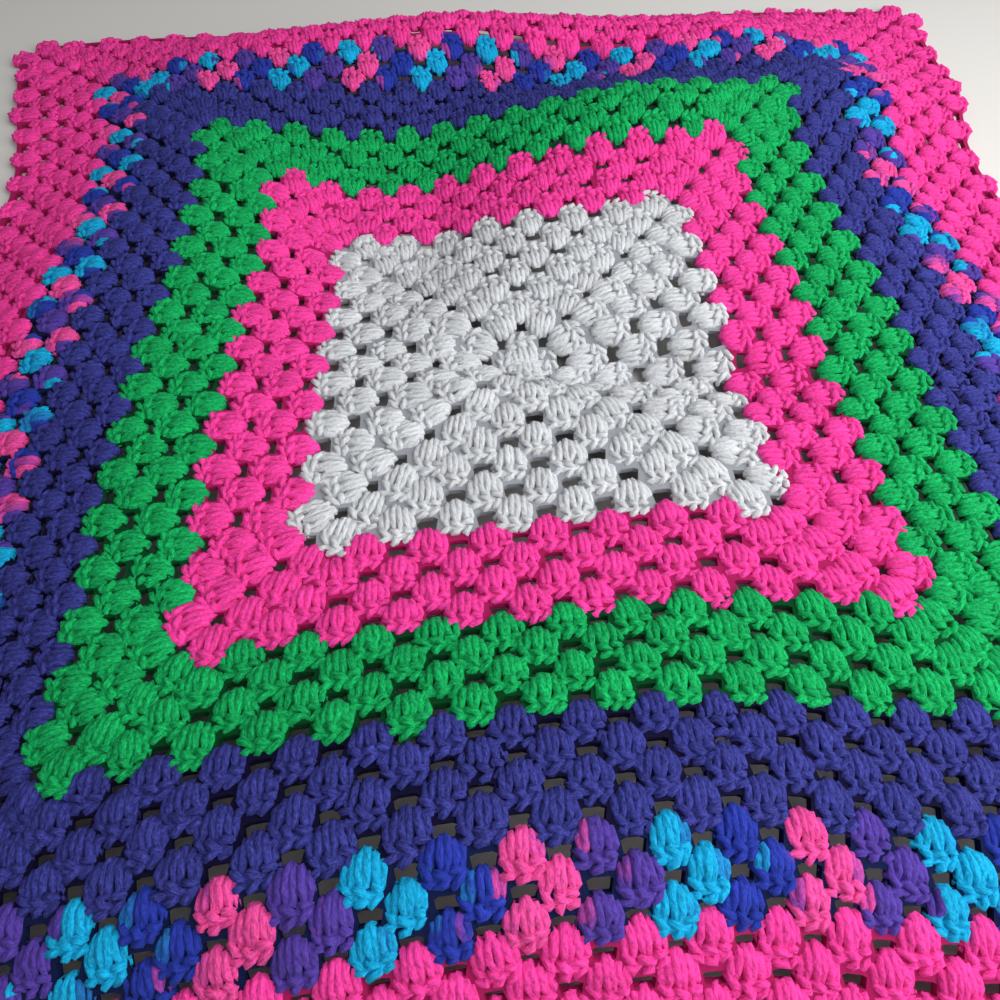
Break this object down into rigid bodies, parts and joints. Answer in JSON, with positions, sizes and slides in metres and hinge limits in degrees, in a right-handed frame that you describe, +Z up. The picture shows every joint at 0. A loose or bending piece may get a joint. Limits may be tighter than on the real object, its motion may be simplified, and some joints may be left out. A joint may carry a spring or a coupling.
{
  "type": "granny square blanket",
  "caption": "Square crochet blanket of granny clusters worked outward in bands of white, pink, green, purple and mixed colours, lying in soft folds.",
  "frame": {"origin": "middle of the box's underside, on the surface the blanket lies on", "axes": "+X across the blanket to the right, +Y from its near edge to its far edge, +Z up"},
  "size_m": [0.6048, 0.607, 0.0541],
  "materials": {
    "white_yarn": "matte crocheted yarn",
    "pink_yarn": "matte crocheted yarn",
    "green_yarn": "matte crocheted yarn",
    "purple_yarn": "matte crocheted yarn",
    "variegated_yarn": "matte crocheted yarn that changes colour along its length"
  },
  "bodies": {
    "root": {"blanket": "white_yarn"}
  },
  "joints": []
}
